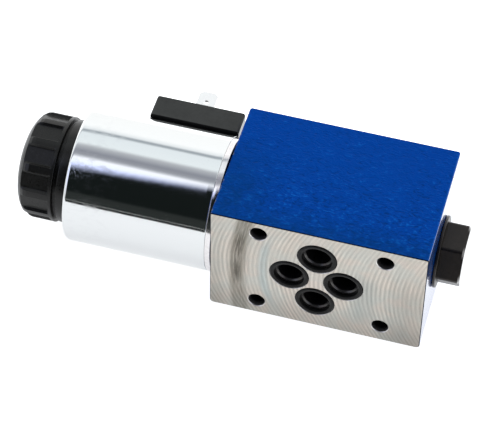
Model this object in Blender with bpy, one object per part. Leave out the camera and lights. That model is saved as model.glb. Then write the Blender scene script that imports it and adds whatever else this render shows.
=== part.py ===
"""Single-solenoid directional spool valve, size NG6 / CETOP 3 (ISO 4401-03).

The valve lies on its side.  Units are metres, +Z is up.
Origin: centre of the port pattern on the mounting face.
+X: along the spool towards the hexagon closing plug; the solenoid is at -X.
-Y: out of the mounting face (the face that is bolted to a manifold).
Spool, armature, coil and ring nut all share one axis, parallel to X,
AXIS_Y behind the mounting face.
"""
import math

import bmesh
import bpy
from mathutils import Matrix, Vector

MM = 0.001
GAP = 0.3 * MM                     # running clearance between neighbouring pieces

# ---------------------------------------------------------------- valve body
BODY_X0, BODY_X1 = -34.5 * MM, 34.75 * MM
BODY_Y1 = 47.0 * MM                # mounting face to name plate face
BODY_Z0, BODY_Z1 = -22.15 * MM, 21.2 * MM
BODY_EDGE = 0.35 * MM

AXIS_Y = 22.75 * MM                 # spool axis behind the mounting face

# ISO 4401-03 pattern, (x, z) about the origin
BOLTS = {
    "F1": (21.5 * MM, -15.5 * MM),
    "F2": (-19.0 * MM, -16.25 * MM),
    "F3": (-19.0 * MM, 16.25 * MM),
    "F4": (21.5 * MM, 15.5 * MM),
}
BOLT_R = 2.75 * MM                 # clearance hole for M5
SPOT_R, SPOT_DEPTH = 4.6 * MM, 0.8 * MM
PORTS = {
    "p": (0.0, 10.4 * MM),
    "t": (0.0, -10.4 * MM),
    "a": (8.8 * MM, 0.0),
    "b": (-8.7 * MM, 0.0),
}
PORT_R = 4.0 * MM
PORT_DEPTH = {"p": 20.0 * MM, "t": 11.0 * MM, "a": 15.0 * MM, "b": 15.0 * MM}
SEAL_CB_R, SEAL_CB_DEPTH = 6.4 * MM, 1.5 * MM
SEAL_R_OUT, SEAL_R_IN = 6.1 * MM, 4.85 * MM
SEAL_Y0, SEAL_Y1 = -0.25 * MM, 1.2 * MM

BORE_R = 6.5 * MM                  # spool bore
GROOVE_R = 9.5 * MM                # annular chambers T A P B T
GROOVES = ((-20.0, -14.5), (-11.5, -5.5), (-2.5, 2.5), (5.5, 11.5), (14.5, 20.0))
TUBE_THREAD_BORE_R = 11.0 * MM
TUBE_SEAL_CB_R, TUBE_SEAL_CB_X = 13.2 * MM, -32.0 * MM
PLUG_THREAD_BORE_R = 8.9 * MM
PLUG_SEAL_CB_R, PLUG_SEAL_CB_X = 10.4 * MM, 32.7 * MM

# ---------------------------------------------------------------- spool
SPOOL_R, SPOOL_NECK_R = 6.2 * MM, 4.0 * MM
SPOOL_LANDS = ((-26.5, -15.1), (-4.1, 1.1), (12.1, 23.5))
STROKE = 3.0 * MM

# ---------------------------------------------------------------- plug and spring
PLUG_FLANGE_R = 11.7 * MM
PLUG_FLANGE_X0, PLUG_FLANGE_X1 = 34.9 * MM, 35.75 * MM
HEX_AF = 18.6 * MM
HEX_X1 = 43.3 * MM
HEX_PHASE = math.radians(124.6)    # a corner, from +Y towards +Z
SPRING_R, SPRING_WIRE_R = 4.4 * MM, 0.55 * MM
SPRING_X0, SPRING_X1, SPRING_TURNS = 26.0 * MM, 38.2 * MM, 6.0

# ---------------------------------------------------------------- solenoid
TUBE_R = 9.5 * MM
ARM_R, ARM_X0, ARM_X1 = 6.9 * MM, -76.0 * MM, -54.0 * MM
CAN_R, CAN_WALL, CAN_ROUND = 22.15 * MM, 1.5 * MM, 1.3 * MM
CAN_X0, CAN_X1 = -84.2 * MM, -36.65 * MM
COIL_BORE_R = 9.9 * MM
WINDOW_X0, WINDOW_X1, WINDOW_Z = -65.4 * MM, -38.7 * MM, 12.7 * MM

BASE_X0, BASE_X1, BASE_Z = -66.75 * MM, -36.95 * MM, 14.0 * MM
BASE_Y0, BASE_Y1 = 41.65 * MM, 50.5 * MM
NECK_X0, NECK_X1, NECK_Z = -65.1 * MM, -39.0 * MM, 12.4 * MM
PIN_X, PIN_Z = -51.85 * MM, 9.0 * MM     # DIN form A: tabs on an 18 mm circle
TAB_W, TAB_T = 6.3 * MM, 0.8 * MM
TAB_Y0, TAB_Y1, TAB_HOLE_Y, TAB_HOLE_R = 45.0 * MM, 60.5 * MM, 55.9 * MM, 0.85 * MM

# ---------------------------------------------------------------- ring nut
NUT_R, NUT_FLANGE_R, NUT_GROOVE_R = 17.4 * MM, 17.0 * MM, 15.7 * MM
NUT_X1 = -84.5 * MM
NUT_POCKETS, NUT_POCKET_PHASE = 12, math.radians(91.5)
NUT_POCKET_HALF, NUT_POCKET_FLOOR, NUT_POCKET_X = 2.95 * MM, 16.2 * MM, -90.6 * MM


# ================================================================ helpers
def clear_scene():
    for ob in list(bpy.data.objects):
        bpy.data.objects.remove(ob, do_unlink=True)


def material(name, rgb, rough, metal=0.0):
    mat = bpy.data.materials.new(name)
    mat.use_nodes = True
    bsdf = mat.node_tree.nodes["Principled BSDF"]
    bsdf.inputs["Base Color"].default_value = (rgb[0], rgb[1], rgb[2], 1.0)
    bsdf.inputs["Roughness"].default_value = rough
    bsdf.inputs["Metallic"].default_value = metal
    mat.diffuse_color = (rgb[0], rgb[1], rgb[2], 1.0)
    return mat


def link(name, bm, mat, smooth=True):
    """Close a bmesh into an object with outward faces."""
    bmesh.ops.recalc_face_normals(bm, faces=bm.faces[:])
    me = bpy.data.meshes.new(name)
    bm.to_mesh(me)
    bm.free()
    if smooth:
        me.shade_smooth()
        me.set_sharp_from_angle(angle=math.radians(32.0))
    ob = bpy.data.objects.new(name, me)
    bpy.context.scene.collection.objects.link(ob)
    if mat is not None:
        me.materials.append(mat)
    return ob


def empty(name, location):
    ob = bpy.data.objects.new(name, None)
    ob.location = location
    ob.empty_display_size = 0.01
    bpy.context.scene.collection.objects.link(ob)
    return ob


def turned_bm(profile, steps, axis=Vector((1, 0, 0)), bm=None):
    """Spin a closed profile of (along, radius) points about a line through the local origin."""
    bm = bm or bmesh.new()
    across = Vector((0, 1, 0)) if abs(axis.y) < 0.5 else Vector((1, 0, 0))
    verts = [bm.verts.new(axis * a + across * r) for a, r in profile]
    edges = [bm.edges.new((verts[i], verts[(i + 1) % len(verts)]))
             for i in range(len(verts))
             if profile[i][1] > 1e-9 or profile[(i + 1) % len(verts)][1] > 1e-9]
    bmesh.ops.spin(bm, geom=verts + edges, cent=(0, 0, 0), axis=axis,
                   angle=2 * math.pi, steps=steps, use_merge=True)
    bmesh.ops.remove_doubles(bm, verts=bm.verts[:], dist=1e-7)
    return bm


def turned(name, profile, steps, mat, origin=None, axis=Vector((1, 0, 0))):
    """A turned piece; profile in metres along the axis from the object's origin."""
    ob = link(name, turned_bm(profile, steps, axis), mat)
    ob.location = origin if origin is not None else (0.0, AXIS_Y, 0.0)
    return ob


def mm(points):
    return [(a * MM, r * MM) for a, r in points]


def ring(x0, x1, r0, r1, c=0.0):
    """Profile of a rectangular-section ring, corners eased by c."""
    if c <= 0:
        return [(x0, r0), (x0, r1), (x1, r1), (x1, r0)]
    return [(x0, r0 + c), (x0, r1 - c), (x0 + c, r1), (x1 - c, r1),
            (x1, r1 - c), (x1, r0 + c), (x1 - c, r0), (x0 + c, r0)]


def round_ring(xc, rc, hx, hr, n=8):
    """Profile of an O-ring, an ellipse of half sizes hx and hr."""
    return [(xc + hx * math.cos(2 * math.pi * (i + 0.5) / n),
             rc + hr * math.sin(2 * math.pi * (i + 0.5) / n)) for i in range(n)]


def block_bm(x0, x1, y0, y1, z0, z1, bm=None):
    bm = bm or bmesh.new()
    made = bmesh.ops.create_cube(bm, size=1.0)["verts"]
    bmesh.ops.scale(bm, vec=(x1 - x0, y1 - y0, z1 - z0), verts=made)
    bmesh.ops.translate(bm, vec=((x0 + x1) / 2, (y0 + y1) / 2, (z0 + z1) / 2), verts=made)
    return bm


def ease(bm, width, segments=1, pick=None):
    edges = [e for e in bm.edges if pick is None or pick(e)]
    bmesh.ops.bevel(bm, geom=edges, offset=width, segments=segments, profile=0.5,
                    affect="EDGES", clamp_overlap=True)


def parallel(e, axis):
    d = (e.verts[1].co - e.verts[0].co).normalized()
    return abs(d[axis]) > 0.99


def as_cutter(ob):
    ob.hide_render = True
    ob.display_type = "WIRE"
    return ob


def boolean(ob, other, op="DIFFERENCE"):
    m = ob.modifiers.new(op.lower() + "_" + other.name, "BOOLEAN")
    m.operation = op
    m.solver = "EXACT"
    m.object = other
    return m


def parent_to(children, holder):
    """Children keep their places; the holder is an unrotated empty."""
    for ob in children:
        ob.location = Vector(ob.location) - Vector(holder.location)
        ob.parent = holder


# ================================================================ pieces
def build_body(mats):
    bm = block_bm(BODY_X0, BODY_X1, 0.0, BODY_Y1, BODY_Z0, BODY_Z1)
    # the lower side edges are rounder than the upper ones
    ease(bm, 1.1 * MM, 2, lambda e: parallel(e, 1) and e.verts[0].co.z < 0)
    ease(bm, 0.4 * MM, 1, lambda e: parallel(e, 1) and e.verts[0].co.z > BODY_Z1 - 1e-6)
    ease(bm, 0.9 * MM, 2, lambda e: parallel(e, 2) and all(v.co.y > BODY_Y1 - 1e-6 for v in e.verts))
    ease(bm, BODY_EDGE, 1, lambda e: all(v.co.y > BODY_Y1 - 1e-6 for v in e.verts))
    body = link("valve_body", bm, mats["blue_paint"])

    # through bore: tube seat, spool bore with five chambers, plug seat
    bore = [(-36.0, TUBE_SEAL_CB_R / MM), (TUBE_SEAL_CB_X / MM, TUBE_SEAL_CB_R / MM),
            (TUBE_SEAL_CB_X / MM, TUBE_THREAD_BORE_R / MM), (-24.0, TUBE_THREAD_BORE_R / MM),
            (-24.0, BORE_R / MM)]
    for g0, g1 in GROOVES:
        bore += [(g0, BORE_R / MM), (g0, GROOVE_R / MM), (g1, GROOVE_R / MM), (g1, BORE_R / MM)]
    bore += [(24.0, BORE_R / MM), (24.0, 7.4), (27.0, 7.4), (27.0, PLUG_THREAD_BORE_R / MM),
             (PLUG_SEAL_CB_X / MM, PLUG_THREAD_BORE_R / MM),
             (PLUG_SEAL_CB_X / MM, PLUG_SEAL_CB_R / MM), (36.0, PLUG_SEAL_CB_R / MM)]
    profile = [(-36.0, 0.0)] + bore + [(36.0, 0.0)]
    boolean(body, as_cutter(turned("cut_spool_bore", mm(profile), 20, None)))

    for key, (x, z) in PORTS.items():
        d = PORT_DEPTH[key]
        prof = [(-1 * MM, 0.0), (-1 * MM, SEAL_CB_R), (SEAL_CB_DEPTH, SEAL_CB_R),
                (SEAL_CB_DEPTH, PORT_R + 0.35 * MM), (SEAL_CB_DEPTH + 0.35 * MM, PORT_R),
                (d, PORT_R), (d, 0.0)]
        boolean(body, as_cutter(turned("cut_port_" + key, prof, 32, None,
                                       (x, 0.0, z), Vector((0, 1, 0)))))
    for key, (x, z) in BOLTS.items():
        prof = [(-1 * MM, 0.0), (-1 * MM, BOLT_R), (BODY_Y1 - SPOT_DEPTH, BOLT_R),
                (BODY_Y1 - SPOT_DEPTH, SPOT_R), (BODY_Y1 + 1 * MM, SPOT_R),
                (BODY_Y1 + 1 * MM, 0.0)]
        boolean(body, as_cutter(turned("cut_bolt_" + key, prof, 20, None,
                                       (x, 0.0, z), Vector((0, 1, 0)))))
    # cored tank passage from port T to both end chambers
    for nm, lim in (("along", (-18.2, 18.2, 6.5, 11.5, -12.4, -7.4)),
                    ("left", (-18.0, -15.0, 8.0, 19.0, -11.6, -6.9)),
                    ("right", (15.0, 18.0, 8.0, 19.0, -11.6, -6.9))):
        boolean(body, as_cutter(link("cut_tank_" + nm,
                                     block_bm(*[v * MM for v in lim]), None, False)))
    # blind holes of the name plate's drive pins
    for i, x in enumerate(PLATE_PIN_X):
        prof = [(BODY_Y1 - 4.5 * MM, 0.0), (BODY_Y1 - 4.5 * MM, 1.3 * MM),
                (BODY_Y1 + 1 * MM, 1.3 * MM), (BODY_Y1 + 1 * MM, 0.0)]
        boolean(body, as_cutter(turned("cut_plate_pin_%d" % i, prof, 12, None,
                                       (x, 0.0, 0.0), Vector((0, 1, 0)))))
    return body


PLATE_PIN_X = (-15.5 * MM, 15.5 * MM)


def build_name_plate(mats):
    y0, y1 = BODY_Y1 + GAP, BODY_Y1 + GAP + 0.6 * MM
    bm = block_bm(-19.0 * MM, 19.0 * MM, y0, y1, -9.0 * MM, 9.0 * MM)
    ease(bm, 1.2 * MM, 2, lambda e: parallel(e, 1))
    plate = link("name_plate", bm, mats["aluminium"], False)
    for i, x in enumerate(PLATE_PIN_X):
        prof = [(y0 - 1 * MM, 0.0), (y0 - 1 * MM, 1.3 * MM), (y1 + 1 * MM, 1.3 * MM),
                (y1 + 1 * MM, 0.0)]
        boolean(plate, as_cutter(turned("cut_plate_%d" % i, prof, 16, None,
                                        (x, 0.0, 0.0), Vector((0, 1, 0)))))
    top = y1 + GAP
    for side, x in zip(("left", "right"), PLATE_PIN_X):
        prof = [(BODY_Y1 - 4.0 * MM, 0.0), (BODY_Y1 - 4.0 * MM, 0.7 * MM),
                (BODY_Y1 - 3.6 * MM, 1.0 * MM), (top, 1.0 * MM), (top, 1.7 * MM),
                (top + 0.5 * MM, 1.55 * MM), (top + 0.9 * MM, 0.9 * MM), (top + 1.0 * MM, 0.0)]
        turned("name_plate_pin_" + side, prof, 16, mats["steel"], (x, 0.0, 0.0),
               Vector((0, 1, 0)))


def build_hydraulics(mats):
    # spool with three lands
    prof = [(SPOOL_LANDS[0][0] * MM, 0.0)]
    for i, (a, b) in enumerate(SPOOL_LANDS):
        a, b, c = a * MM, b * MM, 0.25 * MM
        prof += [(a, SPOOL_R - c), (a + c, SPOOL_R), (b - c, SPOOL_R), (b, SPOOL_R - c)]
        if i < 2:
            prof += [(b, SPOOL_NECK_R), (SPOOL_LANDS[i + 1][0] * MM, SPOOL_NECK_R)]
    prof += [(SPOOL_LANDS[2][1] * MM, 0.0)]
    spool = turned("control_spool", prof, 20, mats["steel"])

    plate = turned("spring_plate", mm([(23.8, 0), (23.8, 5.0), (24.1, 5.4), (24.9, 5.4),
                                       (25.2, 5.1), (25.2, 2.8), (28.6, 2.8), (29.0, 2.4),
                                       (29.0, 0)]), 16, mats["steel"])

    # hexagon closing plug: threaded shank, flange, hexagon, spring bore
    f0, f1, fr = PLUG_FLANGE_X0 / MM, PLUG_FLANGE_X1 / MM, PLUG_FLANGE_R / MM
    shank = [(27.3, 5.8), (27.3, 8.2), (27.7, 8.6), (34.4, 8.6), (34.4, 8.0), (f0, 8.0),
             (f0, fr - 0.2), (f0 + 0.2, fr), (f1 - 0.2, fr), (f1, fr - 0.2), (f1, 9.0),
             (f1 + 0.7, 9.0), (f1 + 0.7, 6.5), (38.6, 5.8)]
    plug = turned("end_plug", mm(shank), 32, mats["black_oxide"])
    bm = bmesh.new()
    rc = HEX_AF / 2 / math.cos(math.pi / 6)
    circle = bmesh.ops.create_circle(bm, cap_ends=True, segments=6, radius=rc)
    turn = Matrix(((0, 0, 1), (math.cos(HEX_PHASE), -math.sin(HEX_PHASE), 0),
                   (math.sin(HEX_PHASE), math.cos(HEX_PHASE), 0))).to_4x4()
    bmesh.ops.transform(bm, matrix=turn, verts=bm.verts[:])
    bmesh.ops.translate(bm, vec=(35.5 * MM, 0, 0), verts=bm.verts[:])
    out = bmesh.ops.extrude_face_region(bm, geom=bm.faces[:])
    new = [v for v in out["geom"] if isinstance(v, bmesh.types.BMVert)]
    bmesh.ops.translate(bm, vec=(HEX_X1 - 35.5 * MM, 0, 0), verts=new)
    hexa = as_cutter(link("plug_hexagon", bm, None, False))
    hexa.location = (0.0, AXIS_Y, 0.0)
    # 30 degree chamfer on the hexagon's end
    cone = as_cutter(turned("plug_hexagon_chamfer",
                            mm([(34.0, 0), (34.0, 13.0), (41.8, 13.0), (42.095, 11.5),
                                (44.0, 8.18), (44.0, 0)]), 30, None))
    boolean(hexa, cone, "INTERSECT")
    boolean(plug, hexa, "UNION")
    bore = as_cutter(turned("plug_spring_bore",
                            mm([(26.0, 0), (26.0, 5.8), (38.6, 5.8), (40.2, 0)]), 32, None))
    boolean(plug, bore)

    turned("end_plug_seal", round_ring(33.6 * MM, 9.5 * MM, 0.75 * MM, 0.6 * MM, 6), 24,
           mats["rubber"])

    # helical return spring inside the plug
    cu = bpy.data.curves.new("return_spring", "CURVE")
    cu.dimensions = "3D"
    cu.bevel_depth = SPRING_WIRE_R
    cu.bevel_resolution = 0
    cu.use_fill_caps = True
    n = int(SPRING_TURNS * 12) + 1
    sp = cu.splines.new("POLY")
    sp.points.add(n - 1)
    for i in range(n):
        t = i / (n - 1)
        a = 2 * math.pi * SPRING_TURNS * t
        sp.points[i].co = (SPRING_X0 + (SPRING_X1 - SPRING_X0) * t,
                           SPRING_R * math.cos(a), SPRING_R * math.sin(a), 1.0)
    spring = bpy.data.objects.new("return_spring", cu)
    cu.materials.append(mats["steel"])
    bpy.context.scene.collection.objects.link(spring)
    spring.location = (0.0, AXIS_Y, 0.0)

    # flange seals of the four ports, rectangular section
    for key, (x, z) in PORTS.items():
        turned("port_seal_" + key, ring(SEAL_Y0, SEAL_Y1, SEAL_R_IN, SEAL_R_OUT), 32,
               mats["rubber"], (x, 0.0, z), Vector((0, 1, 0)))
    return spool, plate


def build_solenoid(mats):
    # pressure-tight tube with the fixed core, threaded at both ends
    tube = [(-24.4, 7.1), (-24.4, 10.2), (-24.9, 10.7), (-31.7, 10.7), (-31.7, 9.5),
            (-86.6, 9.5), (-87.2, 8.9), (-87.2, 8.2), (-96.5, 8.2), (-97.0, 7.7), (-97.0, 2.7),
            (-92.5, 2.7), (-92.5, 4.0), (-90.3, 4.0), (-90.3, 2.7), (-84.0, 2.7), (-84.0, 3.8),
            (-80.5, 3.8), (-80.5, 7.2), (-50.5, 7.2), (-50.5, 2.1), (-31.0, 2.1), (-31.0, 7.1)]
    turned("pole_tube", mm(tube), 24, mats["steel"])
    turned("tube_seal", round_ring(-33.0 * MM, 11.3 * MM, 0.85 * MM, 1.4 * MM, 6), 24,
           mats["rubber"])
    arm = turned("armature", mm([(-76.0, 1.0), (-76.0, 6.5), (-75.6, 6.9), (-54.4, 6.9),
                                 (-54.0, 6.5), (-54.0, 1.0)]), 20, mats["steel"])
    pin = turned("push_pin", mm([(-53.7, 0), (-53.7, 1.5), (-53.4, 1.8), (-27.1, 1.8),
                                 (-26.8, 1.5), (-26.8, 0)]), 12, mats["steel"])
    over = turned("override_pin", mm([(-96.4, 0), (-96.4, 2.0), (-96.0, 2.4), (-83.7, 2.4),
                                      (-83.7, 3.5), (-80.8, 3.5), (-80.8, 2.4), (-76.7, 2.4),
                                      (-76.3, 2.0), (-76.3, 0)]), 14, mats["brass"])
    turned("override_seal", round_ring(-91.4 * MM, 3.2 * MM, 0.8 * MM, 0.48 * MM, 6), 14,
           mats["rubber"])

    # --- coil: can, end plate, bobbin, winding, connector base and tabs
    can_in = CAN_R - CAN_WALL
    prof = [(CAN_X1, CAN_R - 0.25 * MM), (CAN_X1 - 0.25 * MM, CAN_R)]
    n = 4
    for i in range(n + 1):
        a = math.pi / 2 * i / n
        prof.append((CAN_X0 + CAN_ROUND - CAN_ROUND * math.sin(a),
                     CAN_R - CAN_ROUND + CAN_ROUND * math.cos(a)))
    prof += [(CAN_X0, COIL_BORE_R), (CAN_X0 + CAN_WALL, COIL_BORE_R),
             (CAN_X0 + CAN_WALL, can_in - 1.0 * MM), (CAN_X0 + CAN_WALL + 1.0 * MM, can_in),
             (CAN_X1, can_in)]
    can = turned("coil_can", prof, 60, mats["chrome"])
    boolean(can, as_cutter(link("cut_can_window",
                                block_bm(WINDOW_X0, WINDOW_X1, 32 * MM, 50 * MM,
                                         -WINDOW_Z, WINDOW_Z), None, False)))
    # stepped end plate: spigot inside the sleeve, full-size rim, seal groove in its face
    end = turned("coil_end_plate", mm([(-38.6, 9.9), (-38.6, 20.3), (-36.5, 20.3), (-36.5, 21.8),
                                       (-36.2, 22.1), (-35.1, 22.1), (-34.85, 21.85),
                                       (-34.85, 18.4), (-35.9, 18.4), (-35.9, 15.6),
                                       (-34.85, 15.6), (-34.85, 9.9)]), 48, mats["steel"])
    bob = turned("coil_bobbin", mm([(-82.4, 9.9), (-82.4, 18.0), (-80.6, 18.0), (-80.6, 11.2),
                                    (-40.8, 11.2), (-40.8, 18.0), (-38.9, 18.0), (-38.9, 9.9)]),
                 24, mats["nylon"])
    win = turned("coil_winding", ring(-80.3 * MM, -41.1 * MM, 11.5 * MM, 17.4 * MM), 24,
                 mats["copper"])

    bm = block_bm(BASE_X0, BASE_X1, BASE_Y0, BASE_Y1, -BASE_Z, BASE_Z)
    ease(bm, 0.8 * MM, 2, lambda e: parallel(e, 1))
    ease(bm, 0.4 * MM, 1, lambda e: all(v.co.y > BASE_Y1 - 1e-6 for v in e.verts))
    base = link("connector_base", bm, mats["plastic"])
    outer = as_cutter(turned("cut_base_saddle", mm([(-70, 0), (-70, CAN_R / MM + 0.3),
                                                    (-30, CAN_R / MM + 0.3), (-30, 0)]), 60, None))
    boolean(base, outer)
    neck = as_cutter(link("base_neck", block_bm(NECK_X0, NECK_X1, 36 * MM, BASE_Y0 + 3.5 * MM,
                                                -NECK_Z, NECK_Z), None, False))
    inner = as_cutter(turned("cut_neck_saddle", mm([(-70, 0), (-70, 18.4), (-30, 18.4), (-30, 0)]),
                             48, None))
    boolean(neck, inner)
    boolean(base, neck, "UNION")
    slot_w, slot_t, slot_y = TAB_W / 2 + GAP, TAB_T / 2 + GAP, TAB_Y0 - GAP
    for nm, x, z, sx, sz in (("1", PIN_X, PIN_Z, slot_w, slot_t),
                             ("2", PIN_X, -PIN_Z, slot_w, slot_t),
                             ("e", PIN_X - PIN_Z, 0.0, slot_t, slot_w)):
        boolean(base, as_cutter(link("cut_slot_" + nm,
                                     block_bm(x - sx, x + sx, slot_y, BASE_Y1 + 1 * MM,
                                              z - sz, z + sz), None, False)))
    boolean(base, as_cutter(turned("cut_screw_hole",
                                   [(BASE_Y1 - 5 * MM, 0), (BASE_Y1 - 5 * MM, 1.5 * MM),
                                    (BASE_Y1 + 1 * MM, 1.5 * MM), (BASE_Y1 + 1 * MM, 0)], 16, None,
                                   (PIN_X, 0.0, 0.0), Vector((0, 1, 0)))))

    def tab_bm(x, z, along_x):
        """A flat blade with a chamfered tip and a cross hole."""
        w, t = TAB_W / 2, TAB_T / 2
        bm = bmesh.new()
        outline = [(-w, TAB_Y0), (w, TAB_Y0), (w, TAB_Y1 - 1.2 * MM), (w - 1.2 * MM, TAB_Y1),
                   (-w + 1.2 * MM, TAB_Y1), (-w, TAB_Y1 - 1.2 * MM)]
        outer_v = [bm.verts.new((a, b, -t)) for a, b in outline]
        hole_v = [bm.verts.new((TAB_HOLE_R * math.cos(2 * math.pi * i / 12),
                                TAB_HOLE_Y + TAB_HOLE_R * math.sin(2 * math.pi * i / 12), -t))
                  for i in range(12)]
        edges = [bm.edges.new((v[i], v[(i + 1) % len(v)])) for v in (outer_v, hole_v)
                 for i in range(len(v))]
        bmesh.ops.triangle_fill(bm, edges=edges, use_beauty=True, use_dissolve=False)
        out = bmesh.ops.extrude_face_region(bm, geom=bm.faces[:])
        bmesh.ops.translate(bm, vec=(0, 0, 2 * t),
                            verts=[v for v in out["geom"] if isinstance(v, bmesh.types.BMVert)])
        if not along_x:
            bmesh.ops.rotate(bm, cent=(0, 0, 0), verts=bm.verts[:],
                             matrix=Matrix.Rotation(math.pi / 2, 3, "Y"))
        bmesh.ops.translate(bm, vec=(x, 0, z), verts=bm.verts[:])
        return bm

    pin_1 = link("contact_pin_1", tab_bm(PIN_X, PIN_Z, True), mats["tin"], False)
    pin_2 = link("contact_pin_2", tab_bm(PIN_X, -PIN_Z, True), mats["tin"], False)
    earth = link("earth_pin", tab_bm(PIN_X - PIN_Z, 0.0, False), mats["tin"], False)

    turned("coil_seal", ring(-35.55 * MM, -34.8 * MM, 15.95 * MM, 18.05 * MM), 36,
           mats["rubber"])
    coil_axis = empty("coil_axis", (-60.0 * MM, AXIS_Y, 0.0))
    parent_to([can, end, bob, win, base, pin_1, pin_2, earth], coil_axis)
    return arm, pin, over


def build_ring_nut(mats):
    rf, rg, rr = NUT_FLANGE_R / MM, NUT_GROOVE_R / MM, NUT_R / MM
    prof = mm([(-84.5, 12.0), (-84.5, rf - 0.5), (-85.0, rf), (-87.7, rf), (-88.0, rf - 0.3),
               (-88.0, rg), (-89.3, rg), (-89.3, rr - 0.2), (-89.5, rr), (-97.6, rr),
               (-98.8, rr - 0.3), (-99.9, rr - 1.1), (-100.9, rr - 2.4), (-101.7, rr - 4.0),
               (-102.3, rr - 5.8), (-102.6, rr - 7.8), (-102.6, 6.0), (-102.1, 5.5),
               (-97.4, 5.5), (-97.4, 8.5), (-87.6, 8.5), (-87.6, 12.0)])
    nut = turned("ring_nut", prof, 48, mats["black_plastic"])
    bm = bmesh.new()
    for k in range(NUT_POCKETS):
        one = block_bm(-104.0 * MM, NUT_POCKET_X, NUT_POCKET_FLOOR, 19.0 * MM,
                       -NUT_POCKET_HALF, NUT_POCKET_HALF)
        bmesh.ops.rotate(one, cent=(0, 0, 0), verts=one.verts[:],
                         matrix=Matrix.Rotation(NUT_POCKET_PHASE + 2 * math.pi * k / NUT_POCKETS,
                                                3, "X"))
        tmp = bpy.data.meshes.new("tmp")
        one.to_mesh(tmp)
        one.free()
        bm.from_mesh(tmp)
        bpy.data.meshes.remove(tmp)
    cut = as_cutter(link("cut_grip_pockets", bm, None, False))
    cut.location = (0.0, AXIS_Y, 0.0)
    boolean(nut, cut)
    seal = turned("nut_seal", round_ring(-86.0 * MM, 10.8 * MM, 1.1 * MM, 0.9 * MM, 6), 24,
                  mats["rubber"])
    return nut, seal


def main():
    clear_scene()
    mats = {
        "blue_paint": material("blue_paint", (0.004, 0.075, 0.36), 0.35),
        "chrome": material("chrome_plate", (0.86, 0.86, 0.87), 0.10, 1.0),
        "steel": material("machined_steel", (0.60, 0.60, 0.61), 0.30, 1.0),
        "black_oxide": material("black_oxide_steel", (0.045, 0.040, 0.038), 0.38, 0.6),
        "black_plastic": material("black_plastic", (0.020, 0.020, 0.019), 0.42),
        "plastic": material("dark_grey_plastic", (0.052, 0.052, 0.048), 0.62),
        "nylon": material("bobbin_plastic", (0.28, 0.26, 0.22), 0.55),
        "rubber": material("nbr_rubber", (0.014, 0.014, 0.015), 0.55),
        "copper": material("enamelled_copper", (0.62, 0.24, 0.10), 0.35, 1.0),
        "brass": material("brass", (0.72, 0.52, 0.22), 0.30, 1.0),
        "tin": material("tinned_brass", (0.75, 0.74, 0.72), 0.28, 1.0),
        "aluminium": material("aluminium_plate", (0.70, 0.70, 0.71), 0.40, 1.0),
    }
    build_body(mats)
    build_name_plate(mats)
    spool, plate = build_hydraulics(mats)
    arm, pin, over = build_solenoid(mats)
    nut, seal = build_ring_nut(mats)
    slide_axis = empty("slide_axis", (0.0, AXIS_Y, 0.0))
    parent_to([spool, plate, arm, pin, over], slide_axis)
    nut_axis = empty("nut_axis", (-93.0 * MM, AXIS_Y, 0.0))
    parent_to([nut, seal], nut_axis)


main()
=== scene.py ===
"""Looks of the single-solenoid directional valve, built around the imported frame."""
import math

import bmesh
import bpy
from mathutils import Matrix, Vector


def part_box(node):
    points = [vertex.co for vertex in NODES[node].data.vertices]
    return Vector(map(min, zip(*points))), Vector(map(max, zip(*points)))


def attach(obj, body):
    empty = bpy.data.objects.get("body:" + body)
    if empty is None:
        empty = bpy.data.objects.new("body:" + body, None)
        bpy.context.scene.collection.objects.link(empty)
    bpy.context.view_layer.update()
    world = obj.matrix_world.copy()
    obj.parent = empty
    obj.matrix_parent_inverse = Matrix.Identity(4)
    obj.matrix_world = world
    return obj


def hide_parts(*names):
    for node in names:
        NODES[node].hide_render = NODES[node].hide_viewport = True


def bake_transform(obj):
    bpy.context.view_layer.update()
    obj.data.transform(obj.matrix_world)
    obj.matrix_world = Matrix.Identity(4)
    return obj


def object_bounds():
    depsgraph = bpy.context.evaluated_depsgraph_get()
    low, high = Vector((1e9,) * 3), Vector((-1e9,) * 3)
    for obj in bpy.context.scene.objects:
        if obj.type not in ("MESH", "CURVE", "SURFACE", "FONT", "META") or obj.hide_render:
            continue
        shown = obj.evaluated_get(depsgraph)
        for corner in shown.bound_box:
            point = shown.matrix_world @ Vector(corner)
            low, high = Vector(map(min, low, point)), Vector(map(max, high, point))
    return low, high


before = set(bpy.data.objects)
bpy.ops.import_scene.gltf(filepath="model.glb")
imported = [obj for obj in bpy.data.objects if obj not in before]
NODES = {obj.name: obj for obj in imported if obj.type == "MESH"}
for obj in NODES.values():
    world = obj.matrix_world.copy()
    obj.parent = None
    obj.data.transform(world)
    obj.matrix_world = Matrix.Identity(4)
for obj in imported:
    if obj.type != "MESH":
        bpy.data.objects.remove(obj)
cad_lo, cad_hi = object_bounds()

MM = 0.001


def mm(v):
    return v * 1000.0


# ------------------------------------------------------------------ measured from the frame
body_lo, body_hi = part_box("valve_body")
can_lo, can_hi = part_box("coil_can")
nut_lo, nut_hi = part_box("ring_nut")
plug_lo, plug_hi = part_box("end_plug")
base_lo, base_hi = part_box("connector_base")
AX_Y = (can_lo.y + can_hi.y) / 2          # spool axis
FLOOR_Z = cad_lo.z
PORT = {k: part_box("port_seal_" + k) for k in "ptab"}
PORT_C = {k: ((b[0].x + b[1].x) / 2, (b[0].z + b[1].z) / 2) for k, b in PORT.items()}


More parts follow.
